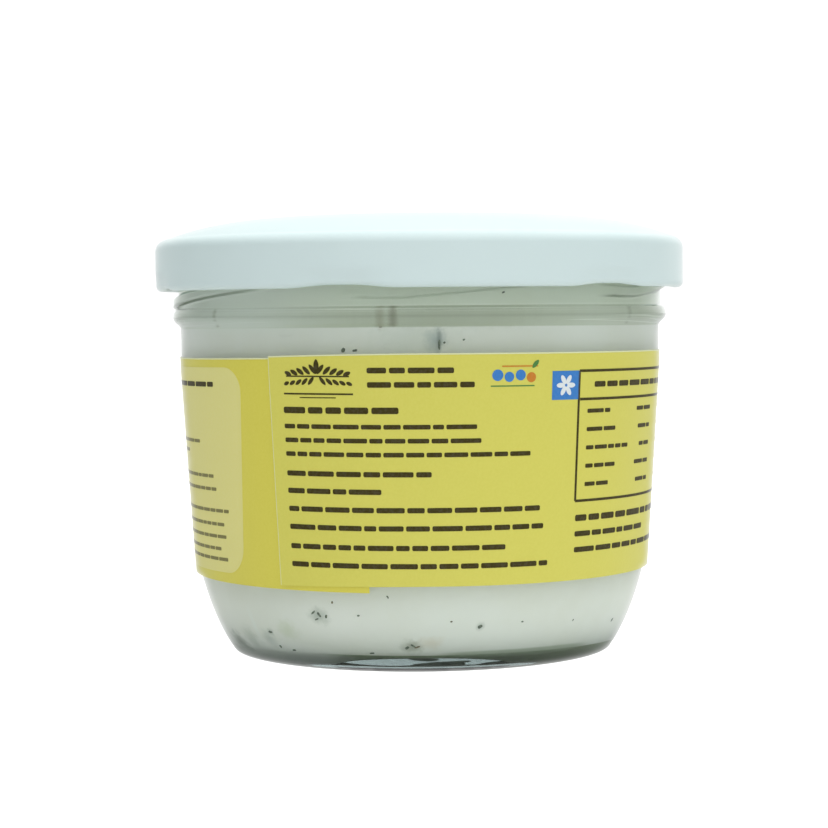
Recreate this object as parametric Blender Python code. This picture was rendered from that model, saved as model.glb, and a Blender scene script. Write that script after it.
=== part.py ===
"""A low glass jar of soft goat cheese with chives, under a white twist-off lid and a wrap-around paper label.

Metres, +Z up. The origin is the middle of the circle on which the jar stands. The front, where the
label's ends overlap, faces -Y. Angles are in degrees round the jar from the front, positive towards +X.
"""

import math

import bmesh
import bpy
from mathutils import Vector

FACETS = 72  # round the glass, the lid and the cheese
FACET_DEG = 360 / FACETS
GAP = 0.0003  # between neighbouring pieces

# Glass: foot and heel
PUSH_UP_HEIGHT = 0.0016
PUSH_UP_RADIUS = 0.0245
FOOT_INNER_RADIUS = 0.0274
FOOT_OUTER_RADIUS = 0.0301
HEEL_LOW = (0.0308, 0.0007)  # radius, height
HEEL_HIGH = (0.03675, 0.0190)
HEEL_LOW_HANDLE = (0.0026, 0.0035)
HEEL_HIGH_HANDLE = 0.0065  # down the taper
HEEL_STEPS = 8

# Glass: body, bead, neck and rim
BODY_RADIUS = 0.0385
TAPER_TOP = 0.0465
BEAD_LOW = 0.0513
BEAD_HIGH = 0.0550
BEAD_DEPTH = 0.00125
BEAD_STEPS = 6
NECK_RADIUS = 0.03885
RIM_TOP = 0.0653
RIM_ROUND = 0.0013
WALL = 0.0023
NECK_WALL = 0.00285
FLOOR_HEIGHT = 0.0042
FLOOR_RADIUS = 0.0262
INNER_HEEL_HEIGHT = 0.0195
INNER_HEEL_HANDLES = (0.0075, 0.0050)  # down the wall, out along the floor
INNER_HEEL_STEPS = 6

# Glass: the slanting ridges that the lid's lugs turn under
RIDGES = 6
RIDGE_FIRST_DEG = -78
RIDGE_SPAN_DEG = 57
RIDGE_LOW_END = 0.0560  # height of the ridge's middle
RIDGE_HIGH_END = 0.0594
RIDGE_RADIUS = 0.0397
RIDGE_FOOT_HALF_WIDTH = 0.0011
RIDGE_CREST_HALF_WIDTH = 0.0004
RIDGE_FADE_DEG = 7
RIDGE_STATIONS = 13
RIDGE_ROOT = 0.0010  # how far it starts inside the neck

# Lid
LID_RADIUS = 0.0424
LID_SHEET = 0.0007
LID_RING_HEIGHT = 0.0659
LID_RING_INNER = 0.0404
LID_DOME_RISE = 0.0035
LID_DOME_POWER = 4.5
LID_DOME_RADII = (0.0, 0.013, 0.021, 0.027, 0.0315, 0.035, 0.0379, LID_RING_INNER)
LID_SHOULDER = (0.0021, 0.0019)  # across, down
LID_CURL = 0.00085  # radius of the rolled lower edge
LID_BOTTOM = 0.0576
LUGS = 6
LUG_FIRST_DEG = -80
LUG_HALF_DEG = 10
LUG_PUSH = 0.0009
LUG_LIFT = 0.00045
LUG_FADE_HEIGHT = 0.0032

# Cheese
CHEESE_TOP = 0.0612
CHEESE_TOP_RADII = (0.031, 0.024, 0.016, 0.008)
CHEESE_SWIRL = 0.0007
HOLLOW_DEG = -58  # where the filling stands back from the glass
HOLLOW_HALF_DEG = 14
HOLLOW_HEIGHT = 0.0075
HOLLOW_HALF_HEIGHT = 0.0055
HOLLOW_DEPTH = 0.0012

# Label
LABEL_SHEET = 0.0003
LABEL_START_DEG = -35.8
LABEL_END_DEG = 360 - 12.2
LABEL_TOP = 0.0481
LABEL_HEIGHT = 0.0344
LABEL_DROP = 0.0011  # how much lower the far end comes round
LABEL_CORNER_SAG = 0.0005
LABEL_CORNER_DEG = 40
LABEL_LEAN_DEG = 2.4
LABEL_SETTLE_DEG = (26, 36)  # where the upper layer comes down to the glass
LABEL_STEPS = 78


def mix(a, b, share):
    return a + (b - a) * share


def smooth(share):
    share = min(max(share, 0.0), 1.0)
    return share * share * (3 - 2 * share)


def arc(centre, radii, start_deg, end_deg, steps):
    """Points (radius, height) on an ellipse's arc, both ends included."""
    points = []
    for i in range(steps + 1):
        turn = math.radians(mix(start_deg, end_deg, i / steps))
        points.append((centre[0] + radii[0] * math.cos(turn), centre[1] + radii[1] * math.sin(turn)))
    return points


def bezier(ends, handles, steps):
    """Points (radius, height) on a cubic curve from ends[0] to ends[1]."""
    points = []
    for i in range(steps + 1):
        t = i / steps
        weights = ((1 - t) ** 3, 3 * t * (1 - t) ** 2, 3 * t * t * (1 - t), t ** 3)
        controls = (ends[0], handles[0], handles[1], ends[1])
        points.append(tuple(sum(w * c[k] for w, c in zip(weights, controls)) for k in (0, 1)))
    return points


def place(angle_deg, radius, height):
    turn = math.radians(angle_deg)
    return Vector((radius * math.sin(turn), -radius * math.cos(turn), height))


def angle_of(point):
    return math.degrees(math.atan2(point.x, -point.y))


def from_angle(angle_deg, centre_deg):
    """How many degrees angle_deg lies past centre_deg, from -180 to 180."""
    return (angle_deg - centre_deg + 180) % 360 - 180


def material(name, colour, roughness, metallic=0.0, transmission=0.0):
    made = bpy.data.materials.new(name)
    made.use_nodes = True
    shader = made.node_tree.nodes["Principled BSDF"]
    shader.inputs["Base Color"].default_value = (*colour, 1)
    shader.inputs["Roughness"].default_value = roughness
    shader.inputs["Metallic"].default_value = metallic
    shader.inputs["Transmission Weight"].default_value = transmission
    made.diffuse_color = (*colour, 1)
    return made


def object_from(name, mesh_builder, surface):
    mesh = bpy.data.meshes.new(name)
    bmesh.ops.recalc_face_normals(mesh_builder, faces=mesh_builder.faces)
    mesh_builder.to_mesh(mesh)
    mesh_builder.free()
    mesh.shade_smooth()
    mesh.set_sharp_from_angle(angle=math.radians(40))
    made = bpy.data.objects.new(name, mesh)
    made.data.materials.append(surface)
    bpy.context.scene.collection.objects.link(made)
    return made


def turned(profile):
    """A closed body turned about Z from a profile whose two ends are on the axis."""
    body = bmesh.new()
    verts = [body.verts.new((radius, 0, height)) for radius, height in profile]
    for a, b in zip(verts, verts[1:]):
        body.edges.new((a, b))
    bmesh.ops.spin(body, geom=body.verts[:] + body.edges[:], axis=(0, 0, 1), cent=(0, 0, 0),
                   steps=FACETS, angle=2 * math.pi)
    bmesh.ops.remove_doubles(body, verts=body.verts, dist=1e-6)
    return body


def taper_radius(height):
    """The body's straight side, carried on downwards past the heel."""
    low_radius, low_height = HEEL_HIGH
    share = (min(height, TAPER_TOP) - low_height) / (TAPER_TOP - low_height)
    return mix(low_radius, BODY_RADIUS, share)


def glass_outside():
    """Foot, heel, tapering body, bead, neck and rim, from the axis up."""
    low, high = HEEL_LOW, HEEL_HIGH
    lean = (BODY_RADIUS - high[0]) / (TAPER_TOP - high[1])
    handles = ((low[0] + HEEL_LOW_HANDLE[0], low[1] + HEEL_LOW_HANDLE[1]),
               (high[0] - lean * HEEL_HIGH_HANDLE, high[1] - HEEL_HIGH_HANDLE))
    points = [(0, PUSH_UP_HEIGHT), (PUSH_UP_RADIUS, PUSH_UP_HEIGHT * 0.8),
              (FOOT_INNER_RADIUS, 0), (FOOT_OUTER_RADIUS, 0)]
    points.append((mix(FOOT_OUTER_RADIUS, low[0], 0.66), low[1] * 0.25))
    points += bezier((low, high), handles, HEEL_STEPS)
    points += [(BODY_RADIUS, TAPER_TOP), (BODY_RADIUS, BEAD_LOW)]
    for i in range(1, BEAD_STEPS):
        share = i / BEAD_STEPS
        swell = math.sin(math.pi * share ** 1.25) ** 0.7
        points.append((BODY_RADIUS + BEAD_DEPTH * swell, mix(BEAD_LOW, BEAD_HIGH, share)))
    points.append((NECK_RADIUS, BEAD_HIGH))
    rim_centre = (NECK_RADIUS - RIM_ROUND, RIM_TOP - RIM_ROUND)
    return points + arc(rim_centre, (RIM_ROUND, RIM_ROUND), 0, 180, 5)


def glass_inside():
    """The hollow's wall and floor, from the neck down to the axis."""
    neck = NECK_RADIUS - NECK_WALL
    side_low = taper_radius(INNER_HEEL_HEIGHT) - WALL
    ends = ((side_low, INNER_HEEL_HEIGHT), (FLOOR_RADIUS, FLOOR_HEIGHT))
    handles = ((side_low, INNER_HEEL_HEIGHT - INNER_HEEL_HANDLES[0]),
               (FLOOR_RADIUS + INNER_HEEL_HANDLES[1], FLOOR_HEIGHT))
    points = [(neck, BEAD_HIGH), (BODY_RADIUS - WALL, TAPER_TOP)]
    points += bezier(ends, handles, INNER_HEEL_STEPS)
    return points + [(0, FLOOR_HEIGHT)]


def ridge(start_deg):
    """One slanting ridge: a low trapezoid swept up the neck, fading at both ends."""
    body = bmesh.new()
    rings = []
    for i in range(RIDGE_STATIONS):
        share = i / (RIDGE_STATIONS - 1)
        along = share * RIDGE_SPAN_DEG
        fade = min(smooth(along / RIDGE_FADE_DEG), smooth((RIDGE_SPAN_DEG - along) / RIDGE_FADE_DEG))
        crest = mix(NECK_RADIUS - RIDGE_ROOT / 2, RIDGE_RADIUS, fade)
        middle = mix(RIDGE_LOW_END, RIDGE_HIGH_END, share)
        corners = ((NECK_RADIUS - RIDGE_ROOT, -RIDGE_FOOT_HALF_WIDTH), (crest, -RIDGE_CREST_HALF_WIDTH),
                   (crest, RIDGE_CREST_HALF_WIDTH), (NECK_RADIUS - RIDGE_ROOT, RIDGE_FOOT_HALF_WIDTH))
        rings.append([body.verts.new(place(start_deg + along, radius, middle + up))
                      for radius, up in corners])
    for near, far in zip(rings, rings[1:]):
        for k in range(len(near)):
            after = (k + 1) % len(near)
            body.faces.new((near[k], far[k], far[after], near[after]))
    body.faces.new(rings[0])
    body.faces.new(rings[-1])
    return body


def make_jar():
    glass = material("glass", (0.86, 0.92, 0.88), 0.02, transmission=1.0)
    jar = object_from("glass_jar", turned(glass_outside() + glass_inside()), glass)
    ridges = bpy.data.collections.new("ridges")
    bpy.context.scene.collection.children.link(ridges)
    for i in range(RIDGES):
        helper = object_from(f"ridge_{i}", ridge(RIDGE_FIRST_DEG + i * 360 / RIDGES), glass)
        bpy.context.scene.collection.objects.unlink(helper)
        ridges.objects.link(helper)
    union = jar.modifiers.new("ridges", "BOOLEAN")
    union.operation = "UNION"
    union.operand_type = "COLLECTION"
    union.collection = ridges
    bpy.context.view_layer.objects.active = jar
    bpy.ops.object.modifier_apply(modifier=union.name)
    for helper in ridges.objects[:]:
        bpy.data.objects.remove(helper)
    bpy.data.collections.remove(ridges)
    return jar


def lid_dome(radius):
    return LID_RING_HEIGHT + LID_DOME_RISE * (1 - (radius / LID_RING_INNER) ** LID_DOME_POWER)


def lid_profile():
    """Down over the outside, round the rolled edge and back up the inside."""
    shoulder_centre = (LID_RADIUS - LID_SHOULDER[0], LID_RING_HEIGHT - LID_SHOULDER[1])
    curl_centre = (LID_RADIUS - LID_CURL, LID_BOTTOM + LID_CURL)
    inner_shoulder = [reach - LID_SHEET for reach in LID_SHOULDER]
    points = [(radius, lid_dome(radius)) for radius in LID_DOME_RADII]
    points += arc(shoulder_centre, LID_SHOULDER, 75, 0, 4)
    points.append((LID_RADIUS, LID_BOTTOM + LUG_FADE_HEIGHT))
    points += arc(curl_centre, (LID_CURL, LID_CURL), 0, -225, 7)
    points.append((LID_RADIUS - LID_SHEET, LID_BOTTOM + 2.3 * LID_CURL))
    points += arc(shoulder_centre, inner_shoulder, 0, 75, 2)
    inner_radii = LID_DOME_RADII[-2::-2] + (0.0,)
    points += [(radius, lid_dome(radius) - LID_SHEET) for radius in inner_radii]
    return points


def press_lugs(body):
    """Pushes the lower edge inwards and up a little at each lug."""
    for vert in body.verts:
        radius = math.hypot(vert.co.x, vert.co.y)
        if radius < LID_RADIUS - 3 * LID_CURL:
            continue
        angle = angle_of(vert.co)
        lugs = (LUG_FIRST_DEG + i * 360 / LUGS for i in range(LUGS))
        nearest = min(abs(from_angle(angle, lug)) for lug in lugs)
        across = smooth(1.25 * (1 - nearest / LUG_HALF_DEG))
        up = smooth(1 - (vert.co.z - LID_BOTTOM - LID_CURL) / (LUG_FADE_HEIGHT - LID_CURL))
        inner = smooth((LID_RADIUS - radius) / (2 * LID_CURL))
        push = LUG_PUSH * across * up * mix(0.5, 1.0, inner)
        vert.co = place(angle, radius - push, vert.co.z + LUG_LIFT * across * up)


def make_lid():
    body = turned(lid_profile())
    press_lugs(body)
    paint = material("lid_paint", (0.86, 0.89, 0.89), 0.35)
    return object_from("lid", body, paint)


def hollow_at(point):
    """How far the filling stands back from the glass here, from 0 to 1."""
    across = 1 - abs(from_angle(angle_of(point), HOLLOW_DEG)) / HOLLOW_HALF_DEG
    up = 1 - abs(point.z - HOLLOW_HEIGHT) / HOLLOW_HALF_HEIGHT
    return smooth(across) * smooth(up)


def swirl_at(radius, angle_deg):
    """The spoon marks on the filling's top."""
    turn = math.radians(angle_deg)
    wave = math.sin(3 * turn + radius * 300) + 0.6 * math.sin(5 * turn - radius * 180)
    return CHEESE_SWIRL * wave * smooth(radius / CHEESE_TOP_RADII[-1] / 2)


def make_cheese():
    inside = [point for point in glass_inside() if point[0] > 0]
    wall_top = (inside[0][0] - GAP, CHEESE_TOP)
    side = [(radius - GAP, height + GAP * smooth(1 - height / INNER_HEEL_HEIGHT)) for radius, height in inside]
    top = [(0, CHEESE_TOP)] + [(radius, CHEESE_TOP) for radius in reversed(CHEESE_TOP_RADII)]
    body = turned(top + [wall_top] + side + [(0, FLOOR_HEIGHT + GAP)])
    for vert in body.verts:
        radius, angle = math.hypot(vert.co.x, vert.co.y), angle_of(vert.co)
        if vert.co.z > CHEESE_TOP - GAP:
            vert.co.z += swirl_at(radius, angle)
        elif radius > FLOOR_RADIUS - 2 * GAP:
            vert.co = place(angle, radius - HOLLOW_DEPTH * hollow_at(vert.co), vert.co.z)
    curd = material("cheese", (0.86, 0.85, 0.78), 0.55)
    return object_from("cheese", body, curd)


def label_lift(along_deg):
    """How far the sheet's inner face stands off the glass: the starting end lies over the other end."""
    above = 2 * GAP + LABEL_SHEET
    first, last = LABEL_SETTLE_DEG
    return mix(above, GAP, smooth((along_deg - first) / (last - first)))


def label_heights(along_deg):
    """The sheet's top, the top of its tapering part, and its bottom."""
    turns = along_deg / (LABEL_END_DEG - LABEL_START_DEG)
    corner = max(0.0, 1 - along_deg / LABEL_CORNER_DEG)
    top = LABEL_TOP - LABEL_DROP * turns - LABEL_CORNER_SAG * corner ** 2
    return top, min(TAPER_TOP, top - GAP), top - LABEL_HEIGHT


def make_label():
    """One strip wound round the jar, a little more than a full turn."""
    body = bmesh.new()
    rings = []
    for i in range(LABEL_STEPS + 1):
        along = (LABEL_END_DEG - LABEL_START_DEG) * i / LABEL_STEPS
        lift = label_lift(along)
        heights = label_heights(along)
        corner = max(0.0, 1 - along / LABEL_CORNER_DEG)
        outline = [(lift + LABEL_SHEET, height) for height in heights]
        outline += [(lift, height) for height in reversed(heights)]
        ring = []
        for off, height in outline:
            lean = LABEL_LEAN_DEG * corner * (heights[0] - height) / LABEL_HEIGHT
            spot = place(LABEL_START_DEG + along + lean, taper_radius(height) + off, height)
            ring.append(body.verts.new(spot))
        rings.append(ring)
    for near, far in zip(rings, rings[1:]):
        for k in range(len(near)):
            after = (k + 1) % len(near)
            body.faces.new((near[k], far[k], far[after], near[after]))
    body.faces.new(rings[0])
    body.faces.new(rings[-1])
    paper = material("label_paper", (0.66, 0.62, 0.14), 0.5)
    return object_from("label", body, paper)


def main():
    for old in bpy.data.objects[:]:
        bpy.data.objects.remove(old)
    make_jar()
    make_lid()
    make_cheese()
    make_label()


main()
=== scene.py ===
"""Looks of the jar of soft goat cheese: clear glass, cheese with chives, wrap-around paper label, white lid.

Lengths here are in millimetres and turn into metres when a mesh is made. Angles are in degrees round
the jar from its front, -Y, positive towards +X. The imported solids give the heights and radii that
these finer pieces keep to.
"""

import math
import random

import bmesh
import bpy
from mathutils import Matrix, Vector

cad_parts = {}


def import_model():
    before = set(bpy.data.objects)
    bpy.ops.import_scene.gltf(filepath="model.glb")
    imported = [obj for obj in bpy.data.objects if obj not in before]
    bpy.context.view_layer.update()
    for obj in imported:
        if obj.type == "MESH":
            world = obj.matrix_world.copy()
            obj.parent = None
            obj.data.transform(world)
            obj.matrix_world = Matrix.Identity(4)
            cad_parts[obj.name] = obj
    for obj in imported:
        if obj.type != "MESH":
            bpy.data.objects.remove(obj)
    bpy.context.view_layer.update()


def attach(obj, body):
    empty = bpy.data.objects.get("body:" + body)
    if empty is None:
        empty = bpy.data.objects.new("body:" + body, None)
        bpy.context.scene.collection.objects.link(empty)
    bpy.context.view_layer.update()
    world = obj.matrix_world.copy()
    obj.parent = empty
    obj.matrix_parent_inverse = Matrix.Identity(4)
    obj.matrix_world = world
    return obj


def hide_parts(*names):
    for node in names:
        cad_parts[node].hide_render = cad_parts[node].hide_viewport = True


MM = 0.001
NOISE_ROUGHNESS = 0.55

# Camera, as in the photograph
CAMERA_DISTANCE = 380.0
CAMERA_HEIGHT = 54.0
CAMERA_PITCH_DEG = -2.49
CAMERA_YAW_DEG = 0.155
CAMERA_ROLL_DEG = 0.52
CAMERA_LENS = 101.9
CAMERA_SENSOR = 36.0
CAMERA_NEAREST = 10.0
BURNT_FROM = 1.02  # the brightness at which a picture's point counts as burnt out
WRAP_REACH = 8  # pixels
WRAP_STRENGTH = 0.8

# Light: how much each direction adds, as (axis, from, to, level at from, level at to)
WORLD_LEVELS = (
    ("X", -0.9, 0.9, 0.08, 0.44),
    ("Y", 0.5, 0.95, 0.0, 0.9),
    ("Y", -1.0, -0.2, 0.43, 0.0),
    ("Z", 0.35, 0.95, 0.0, 1.56),
)
WORLD_TINT = (0.97, 1.0, 0.99)
SEEN_WHITE = 1.2  # how bright the world and the floor are for the camera alone
FLOOR_GLOW = 0.31
FLOOR_GLOW_STARTS = (30.0, 40.0, 0.35)  # from, to, how much there is under the jar
FLOOR_GLOW_ENDS = (70.0, 220.0)
FLOOR_GLOW_SIDES = (-120.0, 60.0, 0.45)  # from, to, how much is left at the dim left end
FLOOR_GLOW_BACK = (-50.0, 80.0, 0.25)  # from, to, how much is left behind the jar
FLOOR_HALF = 6000.0

# Glass
SEGMENTS = 288
PUSH_UP_HEIGHT = 1.7
PUSH_UP_FLAT = 17.0
PUSH_UP_RADIUS = 24.5
FOOT_INNER = (27.4, 0.35)  # radius, height
FOOT = (29.9, 0)
HEEL_LOW = (30.8, 0.7)
HEEL_HIGH = (36.75, 19.0)
FOOT_INNER_HANDLES = ((-0.8, 0.65), (0.4, -0.25))  # before and after the point: across, up
FOOT_HANDLES = ((-0.6, 0), (0.5, 0))
HEEL_LOW_HANDLES = ((-0.25, -0.45), (2.6, 3.5))
HEEL_HIGH_HANDLE = 6.5
BODY_RADIUS = 38.5
TAPER_TOP = 46.5
BEAD_LOW = 51.7
BEAD_HIGH = 54.95
BEAD_EDGES = (  # height, how far it stands out
    (51.95, 0.12), (52.8, 1.0), (53.42, 1.22), (54.05, 1.14), (54.66, 0.84),
)
BEAD_ROUND = 0.25  # share of each side that an edge's rounding takes
NECK_RADIUS = 38.85
RIM_TOP = 65.3
RIM_ROUND = 1.3
WALL = 2.3
NECK_WALL = 2.85
FLOOR_HEIGHT = 3.1
FLOOR_RADIUS = 27.2
INNER_HEEL_HEIGHT = 19.5
INNER_HEEL_HANDLES = (7.5, 5.0)
# Painted shade: dark lines in the glass's colour along the bead, in place of the dark lines that its
# refraction and reflection make.
BEAD_PAINTED_SHADE_LINES = (  # height, half width, depth of tone
    (53.42, 0.4, 0.3), (54.35, 0.18, 0.12), (54.74, 0.22, 0.22),
)
RIDGE_LEFT = (-92, 55.1, 0.0)  # angle where it starts, height there, how far that end turns up
RIDGES = [RIDGE_LEFT] + [(-18 + 60 * i, 56.0, 0.9) for i in range(5)]
RIDGE_SPAN_DEG = 57
RIDGE_CLIMB = 3.4
RIDGE_DEPTH = 0.8
RIDGE_HALF_WIDTH = 1.0
RIDGE_FADE_DEG = 7
RIDGE_HOOK_DEG = 16
RIDGE_STEEPNESS = 2.2
# Painted shade on the ridges' steep sides, which darkens the glass's colour there
FLANK_SHADE_DEG = (34, 46)  # from the front: where the tone of the ridges' flanks starts and is full
FLANK_SHADE_IN_FRONT = 0.06
NECK_SKIN = 0.5  # how deep under the neck's radius a point still counts as its outer face

# Lid
LID_RADIUS = 42.42
LID_SHEET = 0.5
LID_RING_HEIGHT = 65.9
LID_RING_INNER = 40.5
LID_DOME_RISE = 3.5
LID_DOME_POWER = 4.5
LID_SHOULDER = (2.1, 1.9)  # across, down
LID_SHOULDER_DEG = 78
LID_CURL = 0.85
LID_CURL_DEG = 225
LID_BOTTOM = 57.6
LUGS = 6
LUG_FIRST_DEG = -76.3
LUG_HALF_DEG = 12
LUG_PUSH = 0.9
LUG_LIFT = 0.45
LUG_FADE_HEIGHT = 3.2
LUG_STEEPNESS = 1.25

# Cheese
CHEESE_TOP = 61.2
INTO_WALL = 0.15
HOLLOW = (6.0, 24.0)  # the ring in which the filling arches clear of the jar's push-up
HOLLOW_HEIGHT = 0.4
HOLLOW_SLOPE = 0.6
HOLLOW_HALF_WIDTHS = (6.5, 14.4)  # across, where HOLLOW is from front to back
HOLLOW_SHIFT = 1.8  # how far right its inner edge lies
# Painted light and shade on the filling by height: its flat bottom is darkened for the shade under the jar,
# the neck above 52 mm for the lid's shadow, and thin lighter and darker bands behind the bead stand in for
# its highlights and dark lines.
CHEESE_PAINTED_UNDER_SHADE = (0.34, 0.41, 0.27)
CHEESE_PAINTED_LIGHT_BANDS = (  # from, to, tone above
    (3.04, 3.13, (1.0, 1.0, 1.0)),
    (51.9, 52.4, (0.71, 0.75, 0.65)),
    (53.85, 53.95, (0.92, 0.96, 0.88)),
    (54.05, 54.15, (0.71, 0.75, 0.65)),
    (54.8, 54.9, (0.96, 1.0, 0.92)),
    (55.1, 55.3, (0.90, 0.95, 0.855)),
)
# Stains and painted light on the filling. The rows at 50.0 and 8.0 degrees, height 53.3, are painted shade
# behind the bead, in place of the dark that its refraction gives; the pale upright streak at -52.0 degrees,
# height 6.0, is a painted highlight where the filling stands off the glass. The other rows are smears, chive
# halos and small darker patches.
STAINS_AND_PAINTED_LIGHT = (  # angle, height, half width, half height, strength, colour
    (-1.0, 50.3, 9.0, 3.0, 0.3, (0.60, 0.66, 0.55)),
    (50.0, 53.3, 12.0, 1.9, 0.35, (0.78, 0.82, 0.73)),
    (8.0, 53.3, 24.0, 1.9, 0.35, (0.42, 0.46, 0.34)),
    (3.7, 49.9, 2.0, 2.4, 0.55, (0.24, 0.33, 0.34)),
    (4.4, 49.9, 0.6, 2.4, 0.6, (0.12, 0.17, 0.16)),
    (-6.1, 53.4, 0.9, 1.9, 0.5, (0.16, 0.13, 0.06)),
    (-9.0, 53.1, 0.9, 1.9, 0.35, (0.24, 0.20, 0.08)),
    (-55.5, 53.4, 0.8, 0.8, 0.4, (0.30, 0.32, 0.20)),
    (57.7, 53.4, 0.8, 0.8, 0.35, (0.30, 0.32, 0.22)),
    (-2.8, 4.4, 2.2, 1.3, 0.6, (0.18, 0.21, 0.13)),
    (2.3, 4.9, 2.6, 1.3, 0.5, (0.78, 0.70, 0.56)),
    (-39.0, 6.2, 2.6, 2.0, 0.5, (0.62, 0.68, 0.48)),
    (-27.5, 8.8, 2.2, 1.7, 0.6, (0.32, 0.38, 0.32)),
    (-48.0, 4.6, 2.0, 2.0, 0.4, (0.33, 0.40, 0.36)),
    (-67.0, 3.6, 3.2, 1.8, 0.8, (0.20, 0.24, 0.18)),
    (-57.0, 4.4, 2.4, 2.2, 0.45, (0.40, 0.46, 0.38)),
    (-52.0, 6.0, 0.9, 5.0, 0.7, (0.94, 0.97, 0.92)),
    (15.2, 7.3, 0.9, 0.8, 0.55, (0.30, 0.36, 0.30)),
    (-46.0, 5.6, 0.9, 0.8, 0.5, (0.30, 0.36, 0.30)),
)
# Painted light and shade on the filling: lighter patches high on the left, low on the left and low in front,
# and a darker one low on the right where the base is in shade.
PAINTED_LIGHT_AND_SHADE_PATCHES = (  # angle, height, half width, half height, half depth, where it starts to fade, strength, colour
    (-52.0, 57.0, 32.0, 5.0, 14.0, 0.1, 0.9, (0.97, 1.0, 0.93)),
    (-52.0, 53.3, 28.0, 3.5, 14.0, 0.1, 0.8, (0.94, 0.98, 0.91)),
    (31.0, 3.0, 16.5, 0.85, 4.0, 0.6, 0.75, (0.46, 0.53, 0.40)),
    (-54.0, 3.1, 17.0, 1.8, 14.0, 0.5, 1.0, (1.0, 1.0, 0.96)),
    (-24.0, 9.0, 12.0, 6.0, 8.0, 0.1, 0.6, (1.0, 1.0, 0.97)),
)

# Chopped herbs in the face of the filling: angle, height, length, width, tilt
CHIVES = (
    (-17.7, 48.5, 0.7, 0.6, 60), (-14.9, 48.45, 0.75, 0.35, 10), (4.4, 49.2, 1.5, 0.36, 88),
    (5.6, 49.5, 0.35, 0.3, 30), (10.1, 49.9, 0.36, 0.28, 20), (19.5, 56.8, 0.45, 0.3, 20),
    (-29.0, 9.3, 0.9, 0.3, 40),
    (-27.4, 9.0, 0.9, 0.45, 120), (-25.4, 8.8, 0.6, 0.4, 70), (-28.3, 8.3, 0.7, 0.25, 20),
    (-46.0, 5.7, 0.8, 0.5, 0), (-45.2, 3.7, 0.7, 0.45, 80), (-40.6, 3.4, 0.7, 0.5, 15),
    (-14.6, 3.5, 0.7, 0.4, 10), (-4.2, 4.3, 0.7, 0.5, 50), (-2.6, 4.6, 0.8, 0.4, 140),
    (15.2, 7.3, 0.75, 0.6, 35), (64.8, 6.1, 0.7, 0.5, 60), (27.0, 7.7, 0.35, 0.3, 0),
    (44.1, 7.2, 0.35, 0.3, 60), (-16.4, 9.1, 0.4, 0.3, 10), (-8.5, 12.0, 0.5, 0.25, 120),
)
HERBS = (
    (-8.9, 52.2, 0.45, 0.35, 20), (-1.4, 4.4, 0.9, 0.3, 25),
    (-23.1, 11.0, 0.4, 0.3, 70), (7.5, 8.2, 0.35, 0.3, 0),
)
CHIP_HALF_DEPTH = 0.11
CHIP_SIDES = 8
CHIP_STEPS = 6
CHIVES_BEHIND = 34  # on the sides and back
HERBS_BEHIND = 12
BEHIND_DEG = (74, 286)
FLECKED_HEIGHTS = ((4.5, 12.0), (48.9, 57.0))

# Label
PAPER = 0.12
PAPER_GAP = 0.05
LABEL_START_DEG = -35.6
LABEL_END_DEG = 360 - 12.2
LABEL_TOP = 48.1
LABEL_HEIGHT = 34.4
LABEL_DROP = 1.15
LABEL_END_RISE = 0.5
LABEL_END_GROWTH = 0.45  # how much taller the far end is
LABEL_END_SPAN = 70
LABEL_CORNER_SAG = 0.45
LABEL_CORNER_DEG = 40
LABEL_LEAN_DEG = 0.5
LABEL_SETTLE_DEG = (25.5, 31.0)
LABEL_STEP_DEG = 1.2
LABEL_ROWS = 12

# Print: degrees along the label from its starting end, millimetres under its top line
PRINT_RISE = 0.03
PRINT_ROOT = 0.06
PRINT_DEG = math.degrees(1 / 37.8)  # one millimetre along the label
MARGIN = 3.7
BARE_EDGE = 0.2
BARE_SIDE = 0.08
CURVE_STEPS = 10  # in a rounded corner and in a leaf

# Heights of the bars that stand for words
NUMBER_BAR = 0.82
HEADING_BAR = 0.95
LIST_BAR = 0.68
ADDRESS_BAR = 0.77
TABLE_HEADING_BAR = 0.85
CELL_BAR = 0.62
ADVICE_BAR = 0.8
PANEL_HEADING_BAR = 0.75
SMALL_BAR = 0.52

# Inks: their numbers, and their colours in the same order
INK, CREAM, BLUE, WHITE, ORANGE, GREEN, PALE, FAINT = range(8)
INKS = {
    "ink_brown": (0.052, 0.040, 0.005),
    "ink_cream": (0.79, 0.735, 0.275),
    "ink_blue": (0.05, 0.22, 0.60),
    "ink_white": (0.80, 0.84, 0.86),
    "ink_orange": (0.62, 0.22, 0.03),
    "ink_green": (0.08, 0.24, 0.06),
    "paper_bare": (0.78, 0.80, 0.50),
    "ink_faint": (0.22, 0.20, 0.07),
}


def mix(a, b, share):
    return a + (b - a) * share


def smooth(share):
    share = min(max(share, 0.0), 1.0)
    return share * share * (3 - 2 * share)


def arc(centre, radii, start_deg, end_deg, steps):
    """Points (radius, height) on an ellipse's arc, both ends included."""
    turns = [math.radians(mix(start_deg, end_deg, i / steps)) for i in range(steps + 1)]
    return [(centre[0] + radii[0] * math.cos(t), centre[1] + radii[1] * math.sin(t)) for t in turns]


def bezier(ends, handles, steps):
    """Points (radius, height) on a cubic curve from ends[0] to ends[1]."""
    controls = (ends[0], handles[0], handles[1], ends[1])
    points = []
    for i in range(steps + 1):
        t = i / steps
        weights = ((1 - t) ** 3, 3 * t * (1 - t) ** 2, 3 * t * t * (1 - t), t ** 3)
        points.append(tuple(sum(w * c[k] for w, c in zip(weights, controls)) for k in (0, 1)))
    return points


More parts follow.
